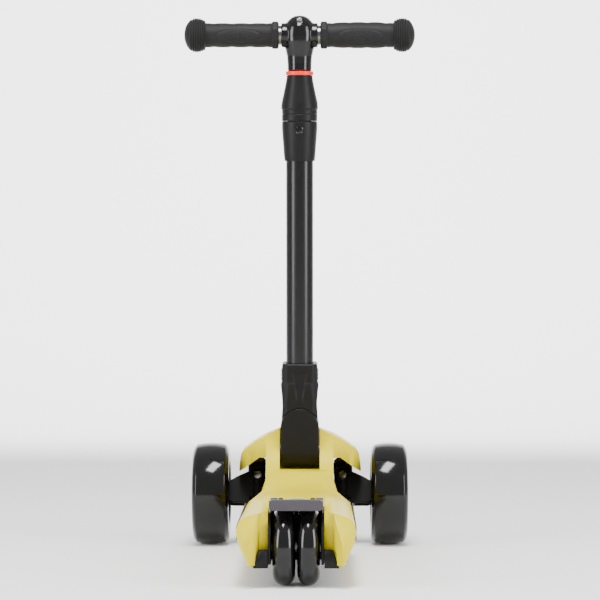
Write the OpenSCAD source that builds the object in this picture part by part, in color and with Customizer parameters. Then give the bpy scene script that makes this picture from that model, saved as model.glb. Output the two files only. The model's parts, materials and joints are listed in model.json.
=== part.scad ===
// Folding three-wheel kick scooter for a small child: two wide front wheels that
// steer as the deck leans, twin narrow rear wheels under a foot brake, and a
// telescopic T-bar on a folding stem. Millimetres, +Z up, +Y towards the front.
// The origin is on the ground, at the middle of the scooter's length and width.

/* [Overall] */
// Distance between the front and rear axle lines
wheelbase = 440; // [380:1:540]
// How far the deck reaches behind the rear axle line
rear_overhang = 45; // [43:1:60]
// Fold pivot to handlebar axis, along the stem, at the lowest setting
stem_len = 480; // [400:1:580]
// Rearward lean of the stem from upright, in degrees
stem_rake = 4; // [0:0.5:8]
// How far the T-bar pulls out of the stem
height_travel = 240; // [100:5:250]

/* [Front wheels and steering] */
// Diameter of a front wheel
front_wheel_d = 120; // [110:1:144]
// Width of a front wheel
front_wheel_w = 43; // [36:1:52]
// Distance between the middles of the front wheels
front_track = 210; // [208:1:252]
// Distance between the two kingpins
kingpin_span = 100; // [96:1:104]
// Forward tilt of the kingpins, in degrees
kingpin_rake = 20; // [10:1:24]
// Length of the steering levers, kingpin to tie rod
lever_len = 24; // [20:1:26]

/* [Rear wheels and brake] */
// Diameter of a rear wheel
rear_wheel_d = 80; // [66:1:82]
// Width of a rear wheel
rear_wheel_w = 23; // [20:1:24]
// Gap between the two rear wheels
rear_wheel_gap = 2; // [1:0.5:3]
// Width of the brake pedal
brake_w = 54.5; // [50:0.5:60]

/* [Deck] */
// Half width of the standing platform
deck_half_w = 60.5; // [58:0.5:73]
// Wall of the moulded shell
shell_t = 3; // [2.4:0.1:3.5]
// Height of the platform's top at the rear wheels
deck_top_z = 77; // [75:0.5:80]
// Half width of the neck and the front hood's middle
neck_half_w = 39; // [38:0.5:41]
// Half width of the hood over the kingpins
hood_half_w = 72; // [70:0.5:74]

/* [Stem] */
// Outer diameter of the main tube
main_tube_d = 31.5; // [28:0.5:38]
// Wall of both stem tubes
tube_wall = 1.7; // [1.5:0.1:2.2]
// Width of the bracket over the tube's diameter, both sides together
bracket_extra = 13; // [12:0.5:16]

/* [Handlebar] */
// Middle of the scooter to the end of a grip
handle_half_w = 133; // [120:1:160]
// Outer diameter of a handle tube
handle_tube_d = 22.2; // [20:0.1:25.4]
// Diameter of the ball on the end of a grip
grip_ball_d = 40; // [36:0.5:44]

/* [Hidden] */
$fn = 72;
run = 0.05;          // radial clearance of a pin in its bore
slip = 0.2;          // clearance of a sliding or turning fit
seat = 0.3;          // gap between faces that only lie together
bolt_r = 4;          // kingpins, axles and the fold pin
bearing_r = 11;
bearing_w = 7;

front_r = front_wheel_d / 2;
rear_r = rear_wheel_d / 2;
front_y = (wheelbase + rear_overhang - front_r) / 2;
rear_y = front_y - wheelbase;
tail_y = rear_y - rear_overhang;
wheel_x = front_track / 2;
kingpin_x = kingpin_span / 2;
rear_wheel_x = (rear_wheel_w + rear_wheel_gap) / 2;

// Places along the kingpins, measured up from the front axle line
barrel_lo = -6;
barrel_hi = 26;
ear_t = 4;
beam_boss_h = 9.5;
barrel_r = 10;
ear_r = 11;
lever_lo = 2;
lever_t = 6;
arm_end_x = wheel_x - front_wheel_w / 2 + 1.5;
hub_half = 14;
tie_pin_r = 3;
tie_slack = 0.8;     // the tie rod's pivots are left this loose, because it only slides

// Stem, measured up from the fold pivot
tube_r = main_tube_d / 2;
bracket_half_w = tube_r + bracket_extra / 2;
bracket_r = tube_r + 5.25;
arch_s = bracket_r + 5.5;
core_r = tube_r + 2.8;
core_top_s = 76;
sleeve_lo_s = arch_s + 6.5;
sleeve_hi_s = 101;
head_drop = 41.2;    // handlebar axis down to the red ring's top
head_rise = 22.8;    // handlebar axis up to the head's top
ring_h = 5;
upper_collar_h = 50.6;
lower_collar_h = 46;
collar_gap = 2;
ring_top_s = stem_len - head_drop;
upper_collar_s = ring_top_s - ring_h - upper_collar_h;
collar_top_s = upper_collar_s - collar_gap;
collar_lo_s = collar_top_s - lower_collar_h;
main_tube_lo_s = bracket_r + 3;
main_tube_hi_s = collar_top_s - 3;
inner_tube_r = tube_r - tube_wall - slip;
inner_bore_r = inner_tube_r - tube_wall - 0.3;
inner_tube_lo_s = main_tube_hi_s - height_travel - 68;
collar_r = tube_r + 4.75;
button_s = collar_top_s - 11;
button_w = 9;
button_h = 8;
groove_depth = 1;
pivot_z = front_r + 55.5;
pivot_y = front_y - 52;
handle_r = handle_tube_d / 2;
head_r = handle_r + 2.9;
head_bulb_r = handle_r + 8.1;
snap_r = 4;
snap_tilt = 48;      // the snap buttons point back and down by this
grip_x = 24;
channel_half_w = bracket_half_w + 1;
channel_floor_z = pivot_z - bracket_r - 2;
channel_front_y = pivot_y + bracket_r + 5.5;
cheek_t = 2;
pin_ear_x = channel_half_w + cheek_t + 0.4;
pin_ear_t = 4;
pin_ear_r = 11.5;

// Rear wheel well
well_half_w = 28.3;
well_t = 3;
well_front_y = rear_y + rear_r + 12;
hinge_y = rear_y + rear_r + 6.5;
hinge_z = rear_r + 40;
hinge_r = 5;
hinge_pin_r = 2.5;
brake_top_z = rear_r + 49.5;
brake_bar_h = 11.5;
brake_tail_y = rear_y - 34;

// ---------------------------------------------------------------- helpers

// A bar along X, its middle at the origin
module bar_x(r, len) rotate([0, 90, 0]) cylinder(r = r, h = len, center = true);

// A bar along X between two places
module bar_between(r, x0, x1) translate([x0, 0, 0]) rotate([0, 90, 0]) cylinder(r = r, h = x1 - x0);

// A flat outline drawn in Y and Z, made half_w thick to both sides of X = 0
module side_plate(half_w) rotate([90, 0, 90]) linear_extrude(2 * half_w, center = true) children();

// A flat outline drawn in X and Z, from y0 to y1
module cross_plate(y0, y1) translate([0, y1, 0]) rotate([90, 0, 0]) linear_extrude(y1 - y0) children();

// The same piece on both sides of the scooter
module both_sides() {
    children();
    mirror([1, 0, 0]) children();
}

// side is -1 on the left and 1 on the right
module on_side(side) mirror([side < 0 ? 1 : 0, 0, 0]) children();

// The frame of the steering: its origin on the front axle line, +Z along the kingpins
module steering_frame() translate([0, front_y, front_r]) rotate([-kingpin_rake, 0, 0]) children();

// The frame of the stem: its origin on the fold pivot, +Z up the stem
module stem_frame() translate([0, pivot_y, pivot_z]) rotate([stem_rake, 0, 0]) children();

// The frame of the handlebar: its origin on the handlebar's axis
module handle_frame() stem_frame() translate([0, 0, stem_len]) children();

// The frame of a snap button: +Z points out of the head
module snap_frame(side)
    handle_frame() translate([side * 17, 0, 0]) rotate([90 + snap_tilt, 0, 0]) children();

// A revolved wheel piece with its axis along X, from a section in radius and width
module wheel_turn(x, y, z) translate([x, y, z]) rotate([0, 90, 0]) rotate_extrude() children();

// A square with round corners, lower left corner at the origin
module soft_square(w, h, r) {
    translate([r, 0]) square([w - 2 * r, h]);
    translate([0, r]) square([w, h - 2 * r]);
    for (x = [r, w - r], y = [r, h - r]) translate([x, y]) circle(r);
}

// ---------------------------------------------------------------- deck

// Right half outlines of the platform, top to bottom, in X and Z
function mirrored(half) = concat(half, [for (i = [len(half) - 1 : -1 : 0]) [-half[i][0], half[i][1]]]);
belly_z = 21;
fore_drop = 5;       // how far the platform dips from the rear wheels to its middle
neck_top_z = deck_top_z + 2;
rear_half = [
    [30, deck_top_z], [deck_half_w - 18.5, deck_top_z - 3], [deck_half_w - 9.5, deck_top_z - 6],
    [deck_half_w - 4.5, deck_top_z - 9.5], [deck_half_w - 1, deck_top_z - 15],
    [deck_half_w, deck_top_z - 22], [deck_half_w - 1.5, deck_top_z - 31],
    [deck_half_w - 5.5, deck_top_z - 41], [deck_half_w - 12.5, belly_z]
];
fore_half = [for (p = rear_half) [p[0], max(p[1] - fore_drop, belly_z)]];
neck_half = [
    [24, neck_top_z], [neck_half_w - 6, neck_top_z - 1.5], [neck_half_w - 1, neck_top_z - 4],
    [neck_half_w + 3, neck_top_z - 8], [neck_half_w + 6, 65], [neck_half_w + 8, 56], [neck_half_w + 7.5, 48],
    [neck_half_w + 5, 40], [neck_half_w, 30]
];
throat_half = [
    [20, channel_floor_z], [28, channel_floor_z - 1], [neck_half_w - 6, channel_floor_z - 2.5],
    [neck_half_w - 2, channel_floor_z - 5], [neck_half_w, 83], [neck_half_w, 68], [neck_half_w, 58],
    [neck_half_w, 48], [neck_half_w - 2, 34]
];
fore_y = pivot_y - 105.5;
neck_y = pivot_y - 68.5;
throat_y = pivot_y - 36.5;
pod_y = rear_y - 24;

// An outline pulled in by the wall: down from the top, sideways from the flank, open below
function pulled_in(half, wall) = [for (i = [0 : 8]) let (a = max(0, 90 - 18 * i))
    half[i] - [wall * cos(a), i == 8 ? 0.2 : wall * sin(a)]];

// A closed skin through rings with the same number of corners, rear to front
module skin(rings) {
    n = len(rings[0]);
    last = len(rings) - 1;
    polyhedron(
        points = [for (r = rings, p = r) p],
        faces = concat(
            [[for (i = [0 : n - 1]) i]],
            [[for (i = [n - 1 : -1 : 0]) last * n + i]],
            [for (k = [0 : last - 1], i = [0 : n - 1]) [k * n + (i + 1) % n, k * n + i, (k + 1) * n + i]],
            [for (k = [0 : last - 1], i = [0 : n - 1])
                [k * n + (i + 1) % n, (k + 1) * n + i, (k + 1) * n + (i + 1) % n]]
        )
    );
}

function ring(y, half) = [for (p = mirrored(half)) [p[0], y, p[1]]];

module platform_outer() skin([
    ring(pod_y, rear_half), ring(fore_y, fore_half), ring(neck_y, neck_half), ring(throat_y, throat_half)
]);

module platform_inner() skin([
    ring(pod_y + shell_t, pulled_in(rear_half, shell_t)), ring(fore_y, pulled_in(fore_half, shell_t)),
    ring(neck_y, pulled_in(neck_half, shell_t)), ring(throat_y + 0.5, pulled_in(throat_half, shell_t))
]);

// The pointed rear of a pod: flat facets that meet on an upright ridge
pod_in_x = 37;
pod_in_z = deck_top_z - 3 * (pod_in_x - 30) / (deck_half_w - 48.5);
ridge_x = deck_half_w - 13.4;
module pod_point() hull() {
    cross_plate(pod_y, pod_y + 0.5) polygon(concat(
        [[pod_in_x, belly_z], [pod_in_x, pod_in_z]], [for (i = [1 : 8]) rear_half[i]]
    ));
    translate([ridge_x - 0.6, tail_y, 26]) cube([1.2, 0.5, 18]);
}

// Side outlines of the hood, in Y and Z
hood_top_z = pivot_z + 24;
nose_y = front_y + 50;
hood_side = [
    [throat_y - 9, 32], [throat_y - 9, hood_top_z], [pivot_y + 26, hood_top_z],
    [front_y + 4, hood_top_z - 9], [front_y + 28, hood_top_z - 28], [nose_y - 5, hood_top_z - 54],
    [nose_y, 70], [nose_y - 6, 48], [nose_y - 26, 37]
];
// The ramp is a hollow round that leaves the platform without a step
ramp_r = 50;
ramp_slope = atan2(channel_floor_z - neck_top_z, throat_y - neck_y);
ramp_touch_y = throat_y - 8;
ramp_y = ramp_touch_y - ramp_r * sin(ramp_slope);
ramp_z = neck_top_z + (ramp_touch_y - neck_y) * tan(ramp_slope) + ramp_r * cos(ramp_slope) + 0.2;

module hood_profile(wall) side_plate(hood_half_w + 5) offset(delta = -wall) polygon(hood_side);

// The hood's outline from above
hood_plan = [
    [34, nose_y], [54, nose_y - 9], [66, front_y + 30], [hood_half_w, front_y + 12],
    [hood_half_w, front_y - 14], [hood_half_w - 8, front_y - 36], [hood_half_w - 24, front_y - 54],
    [neck_half_w, front_y - 62], [neck_half_w, throat_y - 9]
];

wing_h = 52;         // from the hood's top down to the wings' lip
window_out_x = 57;   // outer edge of the side openings, in the wings' rear faces
lip_front = 16;      // the lip ends this far in front of the axle line

// The wings' outline from behind, roof and lower edge
wing_roof = [
    [23, hood_top_z], [37, hood_top_z - 6.5], [52, hood_top_z - 15.5], [hood_half_w - 6, hood_top_z - 26],
    [hood_half_w - 2.5, hood_top_z - 32], [hood_half_w - 1, hood_top_z - 42],
    [hood_half_w, hood_top_z - wing_h - 1]
];
wing_edge = [[60, hood_top_z - 44], [47, hood_top_z - 34], [neck_half_w, hood_top_z - 34]];
wing_inside = concat([for (p = wing_roof) [p[0] - shell_t, p[1] - shell_t]], [[hood_half_w - shell_t, 30]]);

module hood_outer() intersection() {
    hood_profile(0);
    linear_extrude(200) polygon(mirrored(hood_plan));
    cross_plate(0, nose_y + 10) union() {
        polygon(mirrored(concat(wing_roof, wing_edge)));
        translate([-neck_half_w, 20]) square([2 * neck_half_w, hood_top_z - 40]);
    }
}

module hood_inner() intersection() {
    union() {
        hood_profile(shell_t);
        // open underneath, where the base closes it
        translate([0, 0, -12]) hood_profile(shell_t);
    }
    translate([0, 0, -1]) linear_extrude(200) offset(delta = -shell_t) polygon(mirrored(hood_plan));
    cross_plate(0, nose_y + 10) polygon(mirrored(wing_inside));
}

// Room for the rear wheels and their frame
module well_room() translate([-well_half_w - 0.1, tail_y - 10, 0])
    cube([2 * well_half_w + 0.2, well_front_y - tail_y + 10.1, 150]);

// The slot that the folding bracket stands in and swings back through
module bracket_slot(half_w, floor_z) translate([-half_w, -10, floor_z])
    cube([2 * half_w, channel_front_y + 10, 200]);

screw_spots = concat(
    [for (y = [-130, -45, 40]) [deck_half_w - 22, y]],
    [[neck_half_w - 12, throat_y - 20], [neck_half_w - 14, nose_y - 9]]
);
screw_boss_r = 4.5;
boss_z = 53;         // the shell's bosses stop here, on the base's pillars

module deck_shell() color("yellow") difference() {
    union() {
        platform_outer();
        both_sides() pod_point();
        hood_outer();
    }
    difference() {
        union() {
            platform_inner();
            hood_inner();
            // joins the two hollows under the throat
            side_plate(neck_half_w - shell_t) translate([throat_y - 14, 5]) square([18, 35]);
        }
        // what is left standing inside: screw bosses, the ramp's skin and the slot's own walls
        translate([0, ramp_y, ramp_z]) bar_x(ramp_r + shell_t, 2 * hood_half_w);
        both_sides() for (p = screw_spots) translate([p[0], p[1], 0]) cylinder(r = screw_boss_r, h = 150);
        translate([0, 0, channel_floor_z - shell_t]) linear_extrude(120)
            translate([-channel_half_w - cheek_t, throat_y - 30])
            square([2 * (channel_half_w + cheek_t), channel_front_y + shell_t - throat_y + 30]);
    }
    bracket_slot(channel_half_w, channel_floor_z);
    // the ramp that rises from the platform to the hood
    translate([0, ramp_y, ramp_z]) bar_x(ramp_r, 2 * hood_half_w + 20);
    well_room();
    // the base's corner blocks
    both_sides() corner_block(0.3);
    // the side openings that the kingpins stand in
    both_sides() translate([neck_half_w - shell_t - 1, front_y - 44, 34]) {
        cube([window_out_x - neck_half_w + shell_t + 1, 17, hood_top_z - 68]);
        translate([0, 17, 0]) cube([hood_half_w - neck_half_w - 1, nose_y - front_y + 33, hood_top_z - 68]);
        cube([hood_half_w, nose_y - front_y + 50, hood_top_z - 34 - wing_h]);
        translate([0, 44 + lip_front, 0]) cube([hood_half_w, 100, hood_top_z - 68]);
    }
    // bores for the fold pin and the deck screws
    translate([0, pivot_y, pivot_z]) bar_x(bolt_r + 0.5, 2 * neck_half_w - 8);
    both_sides() for (p = screw_spots) translate([p[0], p[1], 0]) cylinder(r = 1.7, h = 60);
    both_sides() for (p = screw_spots) translate([p[0], p[1], -1])
        cylinder(r = screw_boss_r + 0.1, h = boss_z + 1);
    both_sides() translate([deck_half_w - 1.3, tail_y + 40, deck_top_z - 31])
        cube([5, fore_y - tail_y - 42, 15]);
}

// The black corner beside the rear wheels, under the shell
module corner_block(grow) cross_plate(tail_y + 12 - grow, well_front_y - 2 + grow) polygon([
    [well_half_w - grow, 15], [well_half_w - grow, 38 + grow], [37 + grow, 38 + grow],
    [43 + grow * 1.2, 21 - grow], [43 + grow * 1.2, 15]
]);

// Underside of the scooter in Y and Z, from the tail to the nose
base_line = [
    [tail_y + 12, 20.5], [fore_y, 20.5], [neck_y, 30], [throat_y, 33.5], [nose_y - 28, 37], [nose_y - 4, 48]
];
base_t = 3.5;

module deck_base() color("dimgray") difference() {
    union() {
        intersection() {
            side_plate(deck_half_w) polygon(concat(
                base_line, [for (i = [len(base_line) - 1 : -1 : 0]) base_line[i] + [0, base_t]]
            ));
            linear_extrude(100) offset(delta = -shell_t - 0.4) polygon(mirrored([
                [pod_in_x + 3, tail_y], [pod_in_x + 3, pod_y], [deck_half_w - 13, pod_y],
                [deck_half_w - 13, fore_y - 4],
                [neck_half_w, neck_y], [neck_half_w, nose_y - 0.1]
            ]));
        }
        intersection() {
            both_sides() corner_block(0);
            translate([-100, tail_y, 20.5]) cube([200, 200, 100]);
        }
        // screw pillars up to the shell's bosses
        both_sides() for (p = screw_spots) translate([p[0], p[1], base_z(p[1]) + 1])
            cylinder(r = screw_boss_r, h = boss_z - 0.2 - base_z(p[1]) - 1);
    }
    well_room();
    both_sides() for (p = screw_spots) translate([p[0], p[1], 0]) cylinder(r = 2.2, h = 60);
    both_sides() for (p = screw_spots) translate([p[0], p[1], base_z(p[1]) - 1]) cylinder(r = 3.7, h = 4);
    both_sides() for (y = hinge_bolt_y) translate([hinge_bolt_x, y, 0]) cylinder(r = 2.7, h = 60);
    for (x = beam_bolt_x) translate([x, front_y, 0]) cylinder(r = 2.7, h = 60);
    // room for the rear axle's nuts
    translate([0, rear_y, rear_r]) bar_x(8.2, 2 * well_half_w + 18);
}

// Height of the base's underside at a place along the scooter
function base_z(y) = lookup(y, base_line);

module deck_screws() color("silver") both_sides() for (p = screw_spots)
    translate([p[0], p[1], base_z(p[1]) + 0.4]) {
    cylinder(r = 3.4, h = 2.2);
    cylinder(r = 1.6, h = 54 - base_z(p[1]));
}

module side_trims() color("#232323") both_sides() translate([deck_half_w - 1, tail_y + 40.3, deck_top_z - 30.7])
    cube([1.4, fore_y - tail_y - 42.6, 14.4]);

// ---------------------------------------------------------------- rear end

module rear_frame() color("#1c1c1c") difference() {
    union() {
        // side walls of the wheel well
        both_sides() translate([well_half_w - well_t, tail_y + 12, 24]) side_wall();
        // front wall and the rib between the wheels
        translate([-well_half_w, well_front_y - 6, 24]) cube([2 * well_half_w, 6, deck_top_z - 27]);
        side_plate(2.2) polygon([
            [well_front_y - 1, 56], [well_front_y - 1, deck_top_z - 3],
            [rear_y + 21, deck_top_z - 1], [rear_y + 21, rear_r + 30]
        ]);
        // lugs for the brake's hinge
        both_sides() translate([14, hinge_y, hinge_z]) {
            bar_between(hinge_r, 0, 5);
            translate([0, -3, -14]) cube([5, 6, 14]);
        }
    }
    translate([0, rear_y, rear_r]) bar_x(bolt_r + run, 80);
    translate([0, hinge_y, hinge_z]) bar_x(hinge_pin_r + run, 60);
}

module side_wall() rotate([90, 0, 90]) linear_extrude(well_t) polygon([
    [0, 0], [well_front_y - tail_y - 12, 0], [well_front_y - tail_y - 12, deck_top_z - 27],
    [24, deck_top_z - 27], [0, deck_top_z - 40]
]);

module rear_axle() color("silver") translate([0, rear_y, rear_r]) bar_x(bolt_r, 2 * well_half_w + 16);

module rear_axle_nuts() color("silver") both_sides() translate([well_half_w + 0.2, rear_y, rear_r])
    rotate([0, 90, 0]) difference() {
        cylinder(r = 7.5, h = 6.5, $fn = 6);
        translate([0, 0, -1]) cylinder(r = bolt_r + run, h = 9);
    }

rear_core_half = rear_wheel_w / 2 - 1.5;
module rear_spacers() color("silver") translate([0, rear_y, rear_r]) difference() {
    union() {
        bar_x(5.8, 2 * (rear_wheel_x - rear_core_half) - 0.2);
        both_sides() bar_between(5.8, rear_wheel_x + rear_core_half + 0.1, well_half_w - well_t - 0.05);
    }
    bar_x(bolt_r + run, 70);
}

module rear_tyre(side) color("#181818") wheel_turn(side * rear_wheel_x, rear_y, rear_r) intersection() {
    union() {
        translate([rear_r - rear_wheel_w / 2, 0]) circle(rear_wheel_w / 2);
        translate([20, -rear_wheel_w / 2]) square([rear_r - rear_wheel_w / 2 - 20, rear_wheel_w]);
    }
    translate([rear_r - 17.5, -20]) square([30, 40]);
}

module rear_core(side) color("#303030") wheel_turn(side * rear_wheel_x, rear_y, rear_r) difference() {
    translate([8, -rear_core_half]) square([rear_r - 25.6, 2 * rear_core_half]);
    for (y = [-rear_core_half - 1, rear_core_half - bearing_w])
        translate([0, y]) square([bearing_r + 0.02, bearing_w + 1]);
}

module bearing_pair(x, y, z, half) wheel_turn(x, y, z)
    for (s = [-half, half - bearing_w]) translate([bolt_r + run, s + 0.02])
        square([bearing_r - bolt_r - run, bearing_w - 0.04]);

module rear_bearings(side) color("lightsteelblue")
    bearing_pair(side * rear_wheel_x, rear_y, rear_r, rear_core_half);

module brake_hinge_pin() color("silver") translate([0, hinge_y, hinge_z]) bar_x(hinge_pin_r, brake_w - 1);

// A torsion spring round the hinge pin: a stack of close turns
module brake_spring() color("silver") wheel_turn(0, hinge_y, hinge_z)
    for (i = [-3 : 3]) translate([hinge_pin_r + 1.1, i * 1.9]) circle(0.8);

module brake_pedal() color("#67656b") difference() {
    union() {
        side_plate(brake_w / 2) polygon([
            [hinge_y + 1, hinge_z - 1], [hinge_y + 1, hinge_z + 2.2], [hinge_y - 8, hinge_z + 3.2],
            [rear_y, brake_top_z - 2.9], [brake_tail_y, brake_top_z - 1], [brake_tail_y, brake_top_z - 5.5],
            [hinge_y - 34, brake_top_z - 5.5], [hinge_y - 9, hinge_z]
        ]);
        // upright bar with round ends along the rear edge
        cross_plate(brake_tail_y - 2, brake_tail_y + 4) translate([-brake_w / 2, brake_top_z - brake_bar_h])
            soft_square(brake_w, brake_bar_h, 4.5);
        // hinge barrels
        both_sides() translate([0, hinge_y, hinge_z]) bar_between(hinge_r, 19.4, brake_w / 2);
    }
    translate([0, hinge_y, hinge_z]) bar_x(hinge_pin_r + run, brake_w + 2);
    // room for the lugs and the spring
    translate([0, hinge_y, hinge_z]) bar_x(hinge_r + 0.6, 2 * 19.4);
}

module brake_pad() color("#2a2a2a") translate([-22, rear_y - 12, brake_top_z - 7.3]) cube([44, 22, 1.8]);

// ---------------------------------------------------------------- fold hinge, fixed part

hinge_bolt_x = 15;
hinge_bolt_y = [pivot_y - 14, pivot_y + 14];
base_plate_z = channel_floor_z - shell_t - 4.3;

module hinge_base() color("#202020") difference() {
    union() {
        translate([-pin_ear_x - pin_ear_t, pivot_y - 24, base_plate_z])
            cube([2 * (pin_ear_x + pin_ear_t), 48, 4]);
        // feet down to the base
        both_sides() for (y = hinge_bolt_y) translate([hinge_bolt_x, y, base_z(y) + base_t + seat])
            cylinder(r = 6, h = base_plate_z - base_z(y) - base_t);
        both_sides() translate([pin_ear_x, pivot_y, 0]) {
            translate([0, 0, pivot_z]) bar_between(pin_ear_r, 0, pin_ear_t);
            translate([0, -pin_ear_r, base_plate_z]) cube([pin_ear_t, 2 * pin_ear_r, pivot_z - base_plate_z]);
        }
    }
    translate([0, pivot_y, pivot_z]) bar_x(bolt_r + run, 100);
    both_sides() for (y = hinge_bolt_y) translate([hinge_bolt_x, y, 0]) cylinder(r = 2.6, h = 200);
}

module hinge_bolts() color("silver") both_sides() for (y = hinge_bolt_y)
    translate([hinge_bolt_x, y, base_z(y) - 2.6 - seat]) {
    cylinder(r = 4.5, h = 2.6);
    cylinder(r = 2.5, h = base_plate_z + 4 - base_z(y) + 2);
}

module hinge_pin() color("silver") translate([0, pivot_y, pivot_z]) {
    bar_x(bolt_r, 2 * (pin_ear_x + pin_ear_t) + 1);
    both_sides() bar_between(6.2, pin_ear_x + pin_ear_t + 0.1, pin_ear_x + pin_ear_t + 3);
}

// ---------------------------------------------------------------- steering

beam_bolt_x = [-22, 22];
web_y = -3;

module steering_beam() color("#222222") difference() {
    union() {
        beam_plates();
        beam_feet();
    }
    steering_frame() both_sides() translate([kingpin_x, 0, -40]) cylinder(r = bolt_r + run, h = 120);
    for (x = beam_bolt_x) translate([x, front_y, 0]) cylinder(r = 2.6, h = 58);
}

module beam_plates() steering_frame() {
    both_sides() for (z = [barrel_lo - seat - ear_t, barrel_hi + seat]) translate([0, 0, z]) {
        translate([kingpin_x, 0, 0]) cylinder(r = ear_r, h = ear_t);
        translate([0, -ear_r, 0]) cube([kingpin_x, 2 * ear_r, ear_t]);
    }
    both_sides() translate([kingpin_x, 0, barrel_hi + seat]) cylinder(r = ear_r + 1, h = beam_boss_h);
    translate([-kingpin_x + 16, web_y - 6, barrel_lo - seat - ear_t])
        cube([2 * kingpin_x - 32, 8, barrel_hi - barrel_lo + 2 * seat + 2 * ear_t]);
}

module beam_feet() for (x = beam_bolt_x) translate([x, front_y, base_z(front_y) + base_t + seat])
    cylinder(r = 6, h = front_r + barrel_lo - ear_t + 2 - base_z(front_y) - base_t);

module beam_bolts() color("silver") for (x = beam_bolt_x)
    translate([x, front_y, base_z(front_y) - 2.6 - seat]) {
    cylinder(r = 4.5, h = 2.6);
    cylinder(r = 2.5, h = 18);
}

kingpin_head_z = barrel_hi + seat + beam_boss_h + 0.1;
kingpin_foot_z = barrel_lo - seat - ear_t - 9;

module kingpins() color("#2b2b2b") steering_frame() both_sides() translate([kingpin_x, 0, 0]) {
    translate([0, 0, kingpin_foot_z]) cylinder(r = bolt_r, h = kingpin_head_z - kingpin_foot_z + 1);
    translate([0, 0, kingpin_head_z]) cylinder(r = 10, h = 4.5);
    translate([0, 0, kingpin_head_z + 4.5]) cylinder(r = 8, h = 2);
}

module kingpin_nuts() color("mediumseagreen") steering_frame() both_sides()
    translate([kingpin_x, 0, kingpin_foot_z + 1.2]) difference() {
        cylinder(r = 7.5, h = 7.7, $fn = 6);
        translate([0, 0, -1]) cylinder(r = bolt_r + run, h = 10);
    }

module centring_buffers() color("#303030") steering_frame() both_sides()
    translate([13, web_y + 2.1, lever_lo + lever_t + 0.5]) cube([9, lever_len - web_y - 6, 8]);

module knuckle(side) color("#262628") on_side(side) steering_frame() difference() {
    union() {
        translate([kingpin_x, 0, barrel_lo]) cylinder(r = barrel_r, h = barrel_hi - barrel_lo);
        // arm out to the wheel, with its sloping gusset
        translate([0, 8, 0]) rotate([90, 0, 0]) linear_extrude(16) polygon([
            [kingpin_x, -14], [arm_end_x - 4, -14], [arm_end_x, -11], [arm_end_x, 12.5],
            [kingpin_x + 24, 19], [kingpin_x + 11, barrel_hi - 1], [kingpin_x, barrel_hi - 1]
        ]);
        // spindle that the wheel's inner bearing rests against
        bar_between(6.4, arm_end_x - 1, wheel_x - hub_half - 0.1);
        // boss for the clamp screw that faces back
        translate([kingpin_x, -14, 18]) rotate([-90, 0, 0]) cylinder(r = 7, h = 14);
        // steering lever
        translate([kingpin_x - 6, 0, lever_lo]) cube([12, lever_len, lever_t]);
        translate([kingpin_x, lever_len, lever_lo]) cylinder(r = 6, h = lever_t);
    }
    translate([kingpin_x, 0, -40]) cylinder(r = bolt_r + run, h = 90);
    translate([kingpin_x, 0, -40]) cylinder(r = ear_r + 0.8, h = 40 + barrel_lo);
    bar_between(bolt_r + run, kingpin_x + 12, wheel_x);
    translate([kingpin_x, lever_len, -10]) cylinder(r = tie_pin_r + tie_slack, h = 30);
    translate([kingpin_x, -20, 18]) rotate([-90, 0, 0]) cylinder(r = 2.6, h = 15);
    // hollow underside of the arm
    translate([kingpin_x + 15, -5, -15]) cube([arm_end_x - kingpin_x - 18, 10, 8]);
    // room for the tie rod's eye
    translate([kingpin_x, lever_len, lever_lo + lever_t]) cylinder(r = 14, h = 20);
}

module knuckle_screw(side) color("silver") on_side(side) steering_frame() translate([kingpin_x, -14.1, 18]) {
    rotate([90, 0, 0]) cylinder(r = 4.6, h = 2.6);
    translate([0, -0.1, 0]) rotate([-90, 0, 0]) cylinder(r = 2.5, h = 8.5);
}

module front_axle(side) color("silver") on_side(side) translate([0, front_y, front_r]) {
    bar_between(bolt_r, kingpin_x + 14, wheel_x + hub_half + 1);
    bar_between(6.5, wheel_x + hub_half + 0.2, wheel_x + hub_half + 4.6);
}

eye_z = lever_lo + lever_t + 0.4;
module tie_rod() color("#2c2c2e") steering_frame() difference() {
    union() {
        both_sides() translate([kingpin_x, lever_len, eye_z]) cylinder(r = 6, h = 6);
        translate([-kingpin_x, lever_len - 3, eye_z]) cube([2 * kingpin_x, 6, 6]);
        translate([-6, lever_len - 14, eye_z]) cube([12, 12, 6]);
    }
    both_sides() translate([kingpin_x, lever_len, 0]) cylinder(r = tie_pin_r + run, h = 30);
}

module tie_rod_pins() color("silver") steering_frame() both_sides() translate([kingpin_x, lever_len, lever_lo]) {
    cylinder(r = tie_pin_r, h = 13);
    translate([0, 0, 12.5]) cylinder(r = 4.6, h = 2);
}

// ---------------------------------------------------------------- front wheels

tyre_in_r = front_r - 22;
module front_tyre(side) color("#141414") wheel_turn(side * wheel_x, front_y, front_r) intersection() {
    translate([tyre_in_r - 15, -front_wheel_w / 2]) soft_square(front_r - tyre_in_r + 15, front_wheel_w, 11);
    translate([tyre_in_r, -front_wheel_w]) square([60, 2 * front_wheel_w]);
    translate([front_r - 75, 0]) circle(75);
}

web_half = 4;
module front_core(side) color("#3a3a3c") difference() {
    wheel_turn(side * wheel_x, front_y, front_r) difference() {
        union() {
            translate([tyre_in_r - 5, -front_wheel_w / 2 + 4]) square([5, front_wheel_w - 8]);
            translate([12, -web_half]) square([tyre_in_r - 14, 2 * web_half]);
            translate([8, -hub_half]) square([8, 2 * hub_half]);
        }
        for (y = [-hub_half - 1, hub_half - bearing_w])
            translate([0, y]) square([bearing_r + 0.02, bearing_w + 1]);
    }
    // windows between the spokes
    for (a = [0 : 60 : 300]) translate([side * wheel_x, front_y, front_r]) rotate([a, 0, 0])
        translate([0, (tyre_in_r + 11) / 2, 0]) bar_x((tyre_in_r - 24) / 2, 30);
}

module front_bearings(side) color("lightsteelblue")
    bearing_pair(side * wheel_x, front_y, front_r, hub_half);

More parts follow.
